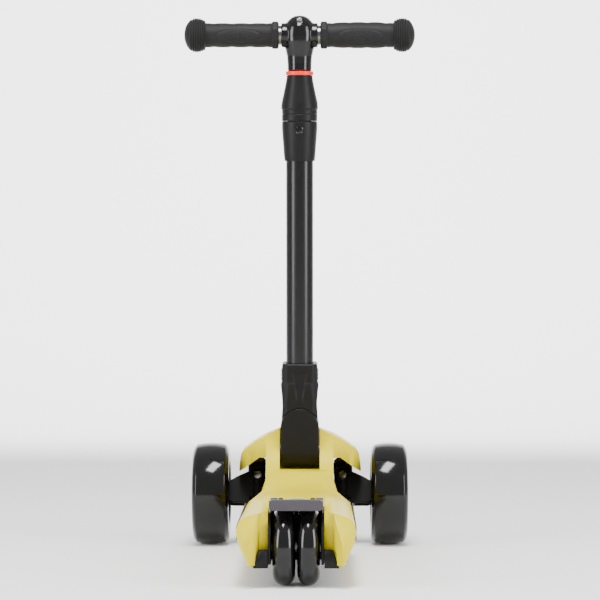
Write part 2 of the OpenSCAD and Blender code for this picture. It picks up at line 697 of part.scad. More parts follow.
module front_cap(side) color("#2a2a2c") on_side(side) wheel_turn(wheel_x, front_y, front_r) {
    translate([12.6, hub_half + 0.05]) square([3.2, 6]);
    translate([0, hub_half + 5]) square([15.8, 1.8]);
}

// ---------------------------------------------------------------- stem

// The lower part of the bracket from behind: a block with a round top
module tombstone(grow) {
    translate([-bracket_half_w - grow, -bracket_r]) square([2 * (bracket_half_w + grow), bracket_r + arch_s]);
    intersection() {
        translate([0, arch_s]) circle(bracket_half_w + grow);
        translate([-50, arch_s - 1]) square(100);
    }
}

module stem_bracket() color("#272526") stem_frame() difference() {
    union() {
        intersection() {
            cross_plate(-bracket_r, bracket_r) tombstone(0);
            union() {
                bar_x(bracket_r, 100);
                translate([-50, -50, 0]) cube([100, 100, 100]);
            }
        }
        translate([0, 0, arch_s]) cylinder(r = core_r, h = core_top_s - arch_s);
    }
    bar_x(bolt_r + run, 100);
    translate([0, 0, main_tube_lo_s - 0.1]) cylinder(r = tube_r + run, h = 100);
    both_sides() translate([tube_r - 2, 0, arch_s + 2]) rotate([0, 90, 0]) cylinder(r = 2.6, h = 30);
    latch_track(0.4);
}

// The path of the fold latch down the bracket's front
module latch_track(grow) translate([-6 - grow, bracket_r - 2.5 - grow, -10 - grow])
    cube([12 + 2 * grow, 10, 120]);

module bracket_screws() color("silver") stem_frame() both_sides() translate([tube_r - 1.5, 0, arch_s + 2])
    rotate([0, 90, 0]) cylinder(r = 2.5, h = bracket_extra / 2 - 0.5);

module main_tube() color("#101010") stem_frame() difference() {
    translate([0, 0, main_tube_lo_s]) cylinder(r = tube_r, h = main_tube_hi_s - main_tube_lo_s);
    translate([0, 0, main_tube_lo_s - 1]) cylinder(r = tube_r - tube_wall, h = stem_len);
    translate([0, -tube_r - 5, button_s]) rotate([-90, 0, 0]) cylinder(r = 3, h = 10);
    both_sides() translate([0, 0, arch_s + 2]) rotate([0, 90, 0]) cylinder(r = 2.6, h = 30);
}

module lower_collar() color("#2d2b2d") stem_frame() difference() {
    rotate_extrude() polygon([
        [inner_tube_r + slip, collar_top_s - 2.9], [inner_tube_r + slip, collar_top_s],
        [collar_r - 1, collar_top_s], [collar_r, collar_top_s - 1], [collar_r, collar_top_s - 9],
        [collar_r - 2.3, collar_lo_s + 6], [collar_r - 3, collar_lo_s], [tube_r + run, collar_lo_s],
        [tube_r + run, collar_top_s - 2.9]
    ]);
    translate([-button_w / 2, -collar_r - 5, button_s - button_h / 2]) cube([button_w, collar_r + 5, button_h]);
}

module height_button() color("#0c0c0c") stem_frame() {
    translate([-button_w / 2 + slip, -collar_r + 0.6, button_s - button_h / 2 + slip])
        cube([button_w - 2 * slip, 2, button_h - 2 * slip]);
    translate([0, -collar_r + 1.5, button_s]) rotate([-90, 0, 0])
        cylinder(r = 2.6, h = collar_r - 1.5 - inner_tube_r - 1);
}

// ---------------------------------------------------------------- release sleeve

rib_s = [82, 86.4, 90.8];

// The sleeve's sides, from behind and from the side: a waist under a shoulder
function sleeve_half(w) = [
    [w - 2.2, sleeve_hi_s], [w - 0.8, sleeve_hi_s - 1.6], [w - 0.8, 80], [w + 0.7, 77], [w - 1, 58],
    [w - 1.2, 50], [w, sleeve_lo_s]
];

module release_sleeve() color("#2b292a") stem_frame() difference() {
    union() {
        intersection() {
            cross_plate(-40, 40) polygon(mirrored(sleeve_half(bracket_half_w - 1)));
            rotate([90, 0, 90]) linear_extrude(100, center = true)
                polygon(mirrored(sleeve_half(bracket_r + 0.5)));
            cylinder(r = bracket_half_w + 3.4, h = 200);
        }
        // finger ribs on both sides
        both_sides() for (s = rib_s) translate([bracket_half_w - 4, -10, s]) cube([3.4, 20, 2.4]);
    }
    cylinder(r = core_r + slip, h = core_top_s + 1);
    cylinder(r = tube_r + seat, h = 200);
    cross_plate(-40, 40) tombstone(0.4);
    translate([-6.1, bracket_r - 2.6, -15]) cube([12.2, 10, 120]);
    // tapered hollow in the rear face
    cross_plate(-bracket_r - 5, -bracket_r + 1) polygon([[-8.5, 91], [8.5, 91], [2.6, 54], [-2.6, 54]]);
}

module fold_latch() color("silver") stem_frame() intersection() {
    latch_track(0);
    translate([-50, bracket_r - 2.5, -10]) cube([100, 2.2, sleeve_hi_s - 8]);
}

// ---------------------------------------------------------------- T-bar

module inner_tube() color("#1b1b1d") stem_frame() difference() {
    translate([0, 0, inner_tube_lo_s]) cylinder(r = inner_tube_r, h = ring_top_s - inner_tube_lo_s);
    translate([0, 0, inner_tube_lo_s - 1]) cylinder(r = inner_bore_r, h = stem_len);
    // key groove that the height button runs in
    translate([-3.2, -inner_tube_r - 1, inner_tube_lo_s - 1])
        cube([6.4, 1 + groove_depth, main_tube_hi_s - inner_tube_lo_s + 1]);
}

module tube_bush() color("ivory") stem_frame() translate([0, 0, inner_tube_lo_s - 6]) {
    cylinder(r = inner_tube_r + 0.1, h = 5.9);
    cylinder(r = inner_bore_r - 0.05, h = 20);
}

module upper_collar() color("#2d2b2d") stem_frame() translate([0, 0, upper_collar_s]) rotate_extrude() polygon([
    [inner_tube_r + run, 0], [collar_r - 1, 0], [collar_r, 1], [collar_r, 11.4], [collar_r + 1, 12.4],
    [collar_r + 0.4, 19], [collar_r - 1.2, 26], [tube_r + 2, 33.4], [tube_r + 0.6, 40.4], [tube_r - 0.6, 47],
    [tube_r - 0.8, upper_collar_h - 0.2], [inner_tube_r + run, upper_collar_h - 0.2]
]);

module accent_ring() color("#e0463a") stem_frame() translate([0, 0, ring_top_s - ring_h]) rotate_extrude()
    translate([inner_tube_r + run, 0]) soft_square(tube_r + 0.3 - inner_tube_r - run, ring_h - 0.2, 0.8);

// Bores that the snap buttons slide in
module snap_bores() both_sides() translate([17, 0, 0]) rotate([90 + snap_tilt, 0, 0])
    cylinder(r = snap_r + slip, h = 30);

module t_head() color("#0e0e0e") handle_frame() difference() {
    union() {
        rotate_extrude() polygon([
            [0, -head_drop - 36], [inner_bore_r - 0.05, -head_drop - 36], [inner_bore_r - 0.05, -head_drop + 0.1],
            [inner_tube_r, -head_drop + 0.1], [inner_tube_r + 0.1, -33], [head_bulb_r - 4.6, -24],
            [head_bulb_r - 2.4, -15], [head_bulb_r - 0.5, -7], [head_bulb_r, 0], [head_bulb_r - 0.5, 5],
            [head_bulb_r - 2, 10.5], [head_bulb_r - 4.8, 15.5], [head_bulb_r - 8.8, 19.6],
            [head_bulb_r - 13.2, head_rise - 0.8], [0, head_rise]
        ]);
        bar_x(head_r, 42);
    }
    both_sides() bar_between(handle_r + run, 1.5, 40);
    snap_bores();
    translate([0, -30, 17]) rotate([-90, 0, 0]) cylinder(r = 2.8, h = 20);
    translate([0, -30, 17]) rotate([-90, 0, 0]) cylinder(r = 2.1, h = 33);
    translate([0, 0, -head_drop - 40]) cylinder(r = inner_bore_r - 3, h = 50);
}

module t_head_screw() color("silver") handle_frame() translate([0, -10, 17]) rotate([-90, 0, 0]) {
    translate([0, 0, -2.2]) cylinder(r = 2.7, h = 2.1);
    translate([0, 0, -0.2]) cylinder(r = 2, h = 12);
}

module handle_tubes() color("#b9bcc0") handle_frame() difference() {
    both_sides() bar_between(handle_r, 2, handle_half_w - 8);
    both_sides() bar_between(handle_r - 1.6, 0, handle_half_w);
    snap_bores();
}

// The grip's section, along its own length from the inner flange
module grip(side) color("#262626") handle_frame() on_side(side) rotate([0, 90, 0]) rotate_extrude() difference() {
    union() {
        translate([0, grip_x]) soft_square(16.5, 8, 1.6);
        translate([0, grip_x + 7]) square([13.8, handle_half_w - grip_x - 32]);
        translate([0, handle_half_w - 26]) intersection() {
            translate([-20, 0]) soft_square(20 + grip_ball_d / 2, 26, 9);
            square([40, 30]);
        }
    }
    translate([-1, 0]) square([handle_r + run + 1, handle_half_w - 7]);
    for (x = [0 : 3]) translate([grip_ball_d / 2 + 0.4, handle_half_w - 21 + 3.4 * x]) circle(1);
}

module snap_button(side) color("#e8e8e8") snap_frame(side) {
    translate([0, 0, handle_r - 3.5]) cylinder(r = snap_r, h = head_r + 1.4 - handle_r + 3.5);
    translate([0, 0, handle_r - 4]) cylinder(r = snap_r + 1, h = 1);
}

// ---------------------------------------------------------------- all pieces

deck_shell();
deck_base();
deck_screws();
side_trims();
rear_frame();
rear_axle();
rear_axle_nuts();
rear_spacers();
brake_hinge_pin();
brake_spring();
hinge_base();
hinge_bolts();
hinge_pin();
steering_beam();
beam_bolts();
kingpins();
kingpin_nuts();
centring_buffers();
knuckle(-1);  // knuckle_left
knuckle(1);  // knuckle_right
knuckle_screw(-1);  // knuckle_screw_left
knuckle_screw(1);  // knuckle_screw_right
front_axle(-1);  // front_axle_left
front_axle(1);  // front_axle_right
tie_rod();
tie_rod_pins();
front_tyre(-1);  // front_tyre_left
front_tyre(1);  // front_tyre_right
front_core(-1);  // front_core_left
front_core(1);  // front_core_right
front_bearings(-1);  // front_bearings_left
front_bearings(1);  // front_bearings_right
front_cap(-1);  // front_cap_left
front_cap(1);  // front_cap_right
rear_tyre(-1);  // rear_tyre_left
rear_tyre(1);  // rear_tyre_right
rear_core(-1);  // rear_core_left
rear_core(1);  // rear_core_right
rear_bearings(-1);  // rear_bearings_left
rear_bearings(1);  // rear_bearings_right
brake_pedal();
brake_pad();
stem_bracket();
bracket_screws();
main_tube();
lower_collar();
release_sleeve();
fold_latch();
height_button();
inner_tube();
tube_bush();
upper_collar();
accent_ring();
t_head();
t_head_screw();
handle_tubes();
grip(-1);  // grip_left
grip(1);  // grip_right
snap_button(-1);  // snap_button_left
snap_button(1);  // snap_button_right
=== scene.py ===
# %% [markdown]
# # A three-wheel kick scooter
# The solids of the scooter come in as a fixed frame: every piece lies where it was
# designed, in metres, with +Z up and +Y towards the front. This lesson dresses that
# frame: it replaces the plain solids that show with finer surfaces, and gives every
# piece a finish that is built from nodes.

# %% Load the frame
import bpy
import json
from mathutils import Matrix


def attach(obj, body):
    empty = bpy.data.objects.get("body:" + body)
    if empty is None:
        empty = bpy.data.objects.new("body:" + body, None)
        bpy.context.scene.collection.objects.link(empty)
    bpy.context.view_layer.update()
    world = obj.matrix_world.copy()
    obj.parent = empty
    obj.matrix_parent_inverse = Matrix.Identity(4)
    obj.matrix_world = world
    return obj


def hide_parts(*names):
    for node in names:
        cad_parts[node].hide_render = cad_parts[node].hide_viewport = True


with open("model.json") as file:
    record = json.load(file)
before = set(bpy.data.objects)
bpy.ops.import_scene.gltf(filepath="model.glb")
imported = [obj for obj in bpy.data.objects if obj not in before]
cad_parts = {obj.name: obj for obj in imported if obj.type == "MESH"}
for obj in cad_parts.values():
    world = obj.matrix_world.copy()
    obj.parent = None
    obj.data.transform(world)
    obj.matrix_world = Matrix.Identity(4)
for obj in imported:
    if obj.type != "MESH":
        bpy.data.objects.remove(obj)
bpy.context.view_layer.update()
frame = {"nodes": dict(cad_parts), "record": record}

import json
import math
import bmesh
import bpy
from mathutils import Matrix
import numpy as np

NODES = frame["nodes"]
RECORD = frame["record"]
SLOT_OF = {part["node"]: part["material_slot"] for part in RECORD["subparts"]}
BODY_OF = {n: body for body, members in RECORD["behaviour"]["bodies"].items() for n in members}

# %% [markdown]
# ## Camera, floor and light
# The camera stands behind the scooter at the height of its stem, a little to the
# right. A long lens keeps the wheels' sides nearly parallel, as a catalogue picture
# does. The floor runs up into a backdrop, so that no horizon line shows.

# %% Camera
camera_data = bpy.data.cameras.new("camera")
camera_data.lens = 152
camera_data.sensor_width = 36
camera = bpy.data.objects.new("camera", camera_data)
camera.location = (0.027, -2.794, 0.289)
camera.rotation_euler = (math.radians(90), 0, math.radians(0.52))
bpy.context.scene.collection.objects.link(camera)
bpy.context.scene.camera = camera
print("camera lens:", camera_data.lens)


# %% [markdown]
# ## From numbers to a mesh
# A surface here is a grid of points that a formula gives. Blender could take it point by
# point, but whole arrays are far quicker: numpy works out all the places at once, and
# foreach_set hands them over in one call. The helpers do only that, so that each piece
# below is nothing but its own formula.

# %% Helpers that put worked-out points into a mesh
def grid_faces(rows, columns, wrap_rows, wrap_columns):
    """Corner numbers of the quads of a grid: each quad joins a point, its neighbour in
    the next column, and the same two points of the next row. A wrapped side joins the
    last row or column to the first."""
    r = np.arange(rows if wrap_rows else rows - 1)[:, None]
    c = np.arange(columns if wrap_columns else columns - 1)[None, :]
    r2, c2 = (r + 1) % rows, (c + 1) % columns
    quads = np.stack([r * columns + c, r * columns + c2, r2 * columns + c2, r2 * columns + c], -1)
    return quads.reshape(-1, 4)


def mesh_object(name, points, faces):
    """A mesh object from an array of points and an array of faces."""
    mesh = bpy.data.meshes.new(name)
    mesh.vertices.add(len(points))
    mesh.vertices.foreach_set("co", np.asarray(points, np.float32).ravel())
    corners = faces.shape[1]
    mesh.loops.add(faces.size)
    mesh.loops.foreach_set("vertex_index", faces.ravel().astype(np.int32))
    mesh.polygons.add(len(faces))
    mesh.polygons.foreach_set("loop_start", np.arange(0, faces.size, corners, dtype=np.int32))
    mesh.polygons.foreach_set("use_smooth", np.ones(len(faces), bool))
    mesh.update(calc_edges=True)
    obj = bpy.data.objects.new(name, mesh)
    bpy.context.scene.collection.objects.link(obj)
    return obj


def outwards(obj, merge=1e-6):
    """Turns the faces of a closed mesh outwards, after its doubles are merged."""
    work = bmesh.new()
    work.from_mesh(obj.data)
    bmesh.ops.remove_doubles(work, verts=work.verts, dist=merge)
    bmesh.ops.recalc_face_normals(work, faces=work.faces)
    work.to_mesh(obj.data)
    work.free()
    return obj


def grid_surface(name, points, wrap_rows=True, wrap_columns=True):
    """A mesh object from a rows x columns x 3 array of points."""
    rows, columns = points.shape[:2]
    return mesh_object(name, points.reshape(-1, 3), grid_faces(rows, columns, wrap_rows, wrap_columns))


# %% [markdown]
# ## Floor and backdrop
# A product stands on a paper sweep: a sheet that lies flat and then curves up behind.
# Two planes would show a line where they meet, so the sheet is one profile, straight,
# then a quarter circle, then straight, drawn out sideways. It isn't part of the scooter.

# %% Floor and backdrop
def studio_sheet(width=9.0, depth_near=-4.2, depth_far=4.2, height=4.0, bend=1.6):
    """A sheet that is flat on the floor and then turns up into a wall: a straight run,
    a quarter circle of radius bend, and a straight rise."""
    flat = np.linspace(depth_near, depth_far - bend, 12)
    turn = np.linspace(0, math.pi / 2, 24)[1:]
    rise = np.linspace(bend, height, 8)[1:]
    y = np.concatenate([flat, depth_far - bend + bend * np.sin(turn), np.full(len(rise), depth_far)])
    z = np.concatenate([np.zeros(len(flat)), bend - bend * np.cos(turn), rise])
    x = np.linspace(-width / 2, width / 2, 9)
    return np.stack(np.broadcast_arrays(x[:, None], y[None, :], z[None, :]), -1)


backdrop = grid_surface("studio_backdrop", studio_sheet(), False, False)
backdrop_paint = bpy.data.materials.new("studio_white")
backdrop_paint.use_nodes = True
backdrop_paint.node_tree.nodes["Principled BSDF"].inputs["Base Color"].default_value = (0.92, 0.92, 0.92, 1)
backdrop_paint.node_tree.nodes["Principled BSDF"].inputs["Roughness"].default_value = 0.9
backdrop.data.materials.append(backdrop_paint)
print("backdrop points:", len(backdrop.data.vertices))


# %% [markdown]
# ## Lights
# Black plastic shows its shape only through what it mirrors, so the light comes from
# big rectangles: one tall box at each side draws a line down the tubes and wheels, a
# small box above, turned askew, leaves a slanted patch on each glossy tyre, and a wide
# one lights the sheet behind. An even pale world fills the shadows.

# %% Lights
def softbox(name, place, aim, size, power, roll=0.0):
    """A rectangular area light at place that faces aim, turned by roll about its beam."""
    data = bpy.data.lights.new(name, "AREA")
    data.shape = "RECTANGLE"
    data.size, data.size_y = size
    data.energy = power
    light = bpy.data.objects.new(name, data)
    light.location = place
    back = np.array(place, float) - np.array(aim, float)
    flat = math.hypot(back[0], back[1])
    heading = Matrix.Rotation(math.atan2(back[1], back[0]) + math.pi / 2, 3, "Z")
    tilt = Matrix.Rotation(math.atan2(flat, back[2]), 3, "X")
    light.rotation_euler = (heading @ tilt @ Matrix.Rotation(roll, 3, "Z")).to_euler()
    bpy.context.scene.collection.objects.link(light)
    return light


softbox("softbox_left", (-1.9, -1.1, 0.75), (0, 0, 0.3), (0.7, 1.9), 55)
softbox("softbox_right", (1.9, -1.1, 0.75), (0, 0, 0.3), (0.7, 1.9), 55)
softbox("softbox_top", (0, -0.75, 2.1), (0, 0, 0.1), (0.5, 1.0), 60, math.radians(-28))
softbox("softbox_back", (0, 2.3, 1.6), (0, 4.2, 0.9), (4.0, 1.2), 190)
world = bpy.data.worlds.new("studio_world")
world.use_nodes = True
world.node_tree.nodes["Background"].inputs["Color"].default_value = (1, 1, 1, 1)
world.node_tree.nodes["Background"].inputs["Strength"].default_value = 0.75
bpy.context.scene.world = world

# %% [markdown]
# ## Shared surface effects
# Moulded plastic, painted metal and rubber all show the same few things close up: a
# fine grain, shine that is uneven where hands and shoes rub it, and a little dust on
# what faces up. Each is a node group, built once and placed in many finishes with its
# own values. A group only puts out masks and heights; the shader stays in the finish.


# %% A group builder
def node_group(name, inputs, outputs):
    """An empty shader node group with float inputs (name: default) and float outputs."""
    group = bpy.data.node_groups.new(name, "ShaderNodeTree")
    for label, value in inputs.items():
        socket = group.interface.new_socket(label, in_out="INPUT", socket_type="NodeSocketFloat")
        socket.default_value = value
    for label in outputs:
        group.interface.new_socket(label, in_out="OUTPUT", socket_type="NodeSocketFloat")
    return group, group.nodes.new("NodeGroupInput"), group.nodes.new("NodeGroupOutput")


def wire(tree, *pairs):
    """Links output sockets to input sockets, given in turn."""
    for source, target in zip(pairs[::2], pairs[1::2]):
        tree.links.new(source, target)


def math_node(tree, operation, *values, clamp=False):
    """A Math node; a value is a number or a socket."""
    node = tree.nodes.new("ShaderNodeMath")
    node.operation, node.use_clamp = operation, clamp
    for socket, value in zip(node.inputs, values):
        if isinstance(value, (int, float)):
            socket.default_value = value
        else:
            tree.links.new(value, socket)
    return node.outputs[0]


def noise(tree, vector, scale, detail=4.0, roughness=0.55):
    """A Noise Texture node's value; scale is a number or a socket."""
    node = tree.nodes.new("ShaderNodeTexNoise")
    node.inputs["Detail"].default_value = detail
    node.inputs["Roughness"].default_value = roughness
    tree.links.new(vector, node.inputs["Vector"])
    if isinstance(scale, (int, float)):
        node.inputs["Scale"].default_value = scale
    else:
        tree.links.new(scale, node.inputs["Scale"])
    return node.outputs["Fac"]


def object_point(tree):
    """The point's place in the object's own space, which is the scooter's frame."""
    return tree.nodes.new("ShaderNodeTexCoord").outputs["Object"]


# %% [markdown]
# ## Mould grain
# A moulding copies the fine pits that sparks leave in its steel mould. An image could
# give them, but it would need a flat layout of each piece. Noise on the object's own
# coordinates needs none and can't be stretched. The group also gives a slow tone, for
# the drift of colour that any big surface has.

# %% Mould grain
def make_grain():
    """Height of a spark-eroded mould: fine noise plus the rims of small cells."""
    group, given, out = node_group("mould_grain", {"Scale": 900.0}, ("Height", "Tone"))
    point = object_point(group)
    fine = noise(group, point, given.outputs["Scale"], 5.0, 0.6)
    cells = group.nodes.new("ShaderNodeTexVoronoi")
    wire(group, point, cells.inputs["Vector"], given.outputs["Scale"], cells.inputs["Scale"])
    height = math_node(group, "ADD", math_node(group, "MULTIPLY", fine, 0.7),
                       math_node(group, "MULTIPLY", cells.outputs["Distance"], 0.5))
    broad = noise(group, point, 14.0, 3.0)
    wire(group, height, out.inputs["Height"], broad, out.inputs["Tone"])
    return group


GRAIN = make_grain()
print("group:", GRAIN.name)

# %% [markdown]
# ## Rubbed shine
# Hands and shoes polish some places and scratch others, so the shine is never even.
# Broad noise moves the roughness between two values. Noise that is stretched long in one
# direction, and cut off so that only its crests stay, leaves thin scratches.


# %% Rubbed shine
def make_rubbing():
    """Roughness between Low and High: broad patches, crossed by thin scratches."""
    sockets = {"Low": 0.3, "High": 0.45, "Scratch": 0.06}
    group, given, out = node_group("rubbed_shine", sockets, ("Rough",))
    point = object_point(group)
    patches = noise(group, point, 38.0, 6.0, 0.65)
    stretch = group.nodes.new("ShaderNodeMapping")
    stretch.inputs["Rotation"].default_value = (0.3, 0.5, 0.9)
    stretch.inputs["Scale"].default_value = (900, 40, 90)
    wire(group, point, stretch.inputs["Vector"])
    lines = noise(group, stretch.outputs["Vector"], 1.0, 2.0)
    crests = math_node(group, "SUBTRACT", lines, 0.68, clamp=True)
    mask = math_node(group, "MULTIPLY", crests, 6.0, clamp=True)
    span = math_node(group, "SUBTRACT", given.outputs["High"], given.outputs["Low"])
    even = math_node(group, "MULTIPLY_ADD", patches, span, given.outputs["Low"])
    rough = math_node(group, "MULTIPLY_ADD", mask, given.outputs["Scratch"], even, clamp=True)
    wire(group, rough, out.inputs["Rough"])
    return group


RUBBING = make_rubbing()
print("group:", RUBBING.name)

# %% [markdown]
# ## Settled dust
# Dust falls, so it lies on what faces up. The height part of the surface's normal says
# how far it does, and two noises multiplied break the layer up, so that it never looks
# like a coat of paint.


# %% Settled dust
def make_dust():
    """A mask that is high where the surface faces up, broken by two noises."""
    group, given, out = node_group("settled_dust", {"Amount": 0.2}, ("Mask",))
    shape = group.nodes.new("ShaderNodeNewGeometry")
    split = group.nodes.new("ShaderNodeSeparateXYZ")
    wire(group, shape.outputs["Normal"], split.inputs["Vector"])
    up = math_node(group, "MULTIPLY", math_node(group, "SUBTRACT", split.outputs["Z"], 0.25, clamp=True), 1.3)
    point = object_point(group)
    clouds, specks = noise(group, point, 26.0, 5.0, 0.7), noise(group, point, 420.0, 2.0)
    blotch = math_node(group, "MULTIPLY", clouds, specks)
    lying = math_node(group, "MULTIPLY", up, blotch)
    mask = math_node(group, "MULTIPLY", lying, given.outputs["Amount"], clamp=True)
    wire(group, mask, out.inputs["Mask"])
    return group


DUST = make_dust()
print("group:", DUST.name)

# %% [markdown]
# ## What every finish shares
# All finishes of the scooter are one recipe with other numbers: two near colours, a
# range of shine, a grain of some height, and a little dust. So a function wires it, and
# each finish below only says its numbers. Numbers that are the same all over a surface,
# such as the strength of its mirror, sit on the shader itself.


# %% A finish builder
def place(tree, group, **values):
    """Places a node group in a tree and sets its inputs."""
    node = tree.nodes.new("ShaderNodeGroup")
    node.node_tree = group
    for label, value in values.items():
        node.inputs[label].default_value = value
    return node


def mixed(tree, factor, first, second):
    """A colour Mix node's result; first and second are colours or sockets."""
    node = tree.nodes.new("ShaderNodeMix")
    node.data_type = "RGBA"
    tree.links.new(factor, node.inputs["Factor"])
    for label, value in (("A", first), ("B", second)):
        socket = [s for s in node.inputs if s.name == label and s.type == "RGBA"][0]
        if isinstance(value, tuple):
            socket.default_value = (*value, 1)
        else:
            tree.links.new(value, socket)
    return [s for s in node.outputs if s.type == "RGBA"][0]


def finish(name, colour, tone, shine, grain=900.0, bump=0.00004, metal=0.0, dust=0.12,
           dust_colour=(0.36, 0.34, 0.31), scratch=0.06, specular=0.5):
    """A finish: its colour drifts to tone, its shine runs between the two numbers of
    shine, its grain is bump metres high, and dust lies on what faces up."""
    material = bpy.data.materials.new(name)
    material.use_nodes = True
    tree = material.node_tree
    shader = tree.nodes["Principled BSDF"]
    shader.inputs["Metallic"].default_value = metal
    shader.inputs["Specular IOR Level"].default_value = specular
    texture = place(tree, GRAIN, Scale=grain)
    rubbed = place(tree, RUBBING, Low=shine[0], High=shine[1], Scratch=scratch)
    dusty = place(tree, DUST, Amount=dust)
    drift = mixed(tree, texture.outputs["Tone"], colour, tone)
    wire(tree, mixed(tree, dusty.outputs["Mask"], drift, dust_colour), shader.inputs["Base Color"],
         rubbed.outputs["Rough"], shader.inputs["Roughness"])
    relief = tree.nodes.new("ShaderNodeBump")
    relief.inputs["Strength"].default_value = 1.0
    relief.inputs["Distance"].default_value = bump
    wire(tree, texture.outputs["Height"], relief.inputs["Height"],
         relief.outputs["Normal"], shader.inputs["Normal"])
    return material


# %% [markdown]
# ## The yellow shell
# The deck is a satin polypropylene moulding, coloured all through. Its mirror is kept
# weak: a strong one would lay white over the yellow and wash it out. The colour drifts
# slightly, and the grain is low, because shoes stand on it and it has to wipe clean.

# %% Yellow shell
FINISH = {}
FINISH["yellow_shell"] = finish(
    "yellow_shell", (0.64, 0.535, 0.0), (0.60, 0.49, 0.0), (0.34, 0.46), 1300.0,
    0.000018, dust=0.03, dust_colour=(0.40, 0.36, 0.12), specular=0.14)
print("finish:", "yellow_shell")

# %% [markdown]
# ## Black and grey mouldings
# Bracket, collars and knuckles are glass-filled nylon, nearly black and a little warm,
# with a sparked grain. The foot brake is the same stuff in dark grey. A black that is
# only dark grey looks bleached under studio light, so the base is very low.

# %% Black and grey mouldings
FINISH["black_plastic"] = finish(
    "black_plastic", (0.0045, 0.0042, 0.0044), (0.0065, 0.0060, 0.0063), (0.36, 0.5), 1500.0,
    0.00004, dust=0.05, specular=0.16)
FINISH["grey_plastic"] = finish(
    "grey_plastic", (0.045, 0.042, 0.047), (0.058, 0.054, 0.061), (0.36, 0.5), 1400.0,
    0.00004, dust=0.05, specular=0.2)
print("finishes:", "black_plastic", "grey_plastic")

# %% [markdown]
# ## Polished head and red ring
# The bar's head is polished in its mould, so its grain almost vanishes and its shine is
# sharp. The thin ring under it is the one warm accent, a glossy red moulding.

# %% Polished head and red ring
FINISH["gloss_black"] = finish(
    "gloss_black", (0.002, 0.002, 0.002), (0.003, 0.003, 0.003), (0.10, 0.18), 700.0,
    0.000004, dust=0.02, specular=0.34)
FINISH["red_plastic"] = finish(
    "red_plastic", (0.80, 0.025, 0.008), (0.72, 0.020, 0.006), (0.25, 0.35), 900.0,
    0.00001, dust=0.03, specular=0.25)
print("finishes:", "gloss_black", "red_plastic")

# %% [markdown]
# ## Painted tubes
# The stem's tubes are aluminium under black powder paint. It is a paint, not a metal, to
# the eye, so Metallic stays at nought, and the grain is the fine orange peel of powder
# that has melted and run together.

# %% Painted tubes
FINISH["black_paint"] = finish(
    "black_paint", (0.002, 0.002, 0.002), (0.003, 0.003, 0.003), (0.20, 0.28), 2600.0,
    0.000012, dust=0.02, specular=0.3)
print("finish:", "black_paint")

# %% [markdown]
# ## Bare metals
# Screws and pins are zinc plated, the axles and springs are oiled dark steel, and the
# handle tubes are turned aluminium, with more scratches because they slide in and out.
# Metallic is high, so the base colour is the colour of the mirror.

# %% Bare metals
FINISH["zinc_steel"] = finish(
    "zinc_steel", (0.26, 0.26, 0.27), (0.34, 0.34, 0.33), (0.22, 0.42), 500.0, 0.00001, metal=1.0)
FINISH["dark_steel"] = finish(
    "dark_steel", (0.05, 0.05, 0.052), (0.075, 0.074, 0.072), (0.3, 0.5), 700.0, 0.00002, metal=0.8)
FINISH["aluminium_tube"] = finish(
    "aluminium_tube", (0.12, 0.12, 0.125), (0.17, 0.17, 0.17), (0.16, 0.28), 400.0,
    0.000008, metal=1.0, scratch=0.2)
print("finishes:", "zinc_steel", "dark_steel", "aluminium_tube")

# %% [markdown]
# ## Poured wheels
# The tyres are poured polyurethane, which is as smooth as the mould and very glossy.
# They could be made as a clear solid, but black ones let no light through, so a dark
# base with a low roughness looks the same and renders faster.

# %% Poured wheels
FINISH["wheel_pu"] = finish(
    "wheel_pu", (0.0015, 0.0016, 0.0015), (0.003, 0.0032, 0.003), (0.08, 0.14), 240.0,
    0.000008, dust=0.02, specular=0.36)
print("finish:", "wheel_pu")

# %% [markdown]
# ## Rubbers and the nylon bush
# Grips and buffers are matt: rubber is rough at a scale far below its grain, which a
# high roughness stands for. The bush in the sliding tube is plain white nylon.

# %% Rubbers and nylon
FINISH["grip_rubber"] = finish(
    "grip_rubber", (0.006, 0.006, 0.0062), (0.010, 0.010, 0.010), (0.5, 0.65), 1100.0,
    0.00005, dust=0.05, specular=0.18)
FINISH["buffer_rubber"] = finish(
    "buffer_rubber", (0.010, 0.010, 0.010), (0.02, 0.02, 0.02), (0.6, 0.8), 900.0,
    0.00005, specular=0.2)
FINISH["nylon"] = finish("nylon", (0.62, 0.62, 0.60), (0.70, 0.70, 0.67), (0.3, 0.42), 900.0, 0.00002)
print("finishes:", len(FINISH))


# %% [markdown]
# ## Taking a solid over
# A designed solid has knife edges, which no moulding has. Two ways to soften them:
# small hardware keeps its flat faces and gets a narrow bevel on each sharp edge, while
# a big moulding is rebuilt from small cubes and then smoothed, which rounds every edge
# and fills every inner corner at once, as a mould does.

# %% Helpers for taking over a solid
def solid_copy(node, name):
    """A copy of a frame node's mesh, its doubles merged and its flat faces joined."""
    mesh = NODES[node].data.copy()
    mesh.name = name
    work = bmesh.new()
    work.from_mesh(mesh)
    bmesh.ops.remove_doubles(work, verts=work.verts, dist=2e-6)
    bmesh.ops.dissolve_degenerate(work, edges=work.edges, dist=1e-6)
    bmesh.ops.dissolve_limit(work, angle_limit=math.radians(0.4), verts=work.verts, edges=work.edges)
    work.to_mesh(mesh)
    work.free()
    obj = bpy.data.objects.new(name, mesh)
    bpy.context.scene.collection.objects.link(obj)
    return obj


def settled(obj):
    """Makes what the modifiers give the object's own mesh."""
    bpy.context.view_layer.update()
    ready = obj.evaluated_get(bpy.context.evaluated_depsgraph_get())
    mesh = bpy.data.meshes.new_from_object(ready)
    obj.modifiers.clear()
    obj.data = mesh
    mesh.polygons.foreach_set("use_smooth", np.ones(len(mesh.polygons), bool))
    return obj


def dressed(obj, node, *more):
    """Gives a piece its node's finish, body and slot, and hides the nodes it stands for."""
    name = SLOT_OF[node]
    obj.data.materials.clear()
    obj.data.materials.append(FINISH[name])
    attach(obj, BODY_OF[node])
    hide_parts(node, *more)
    return obj


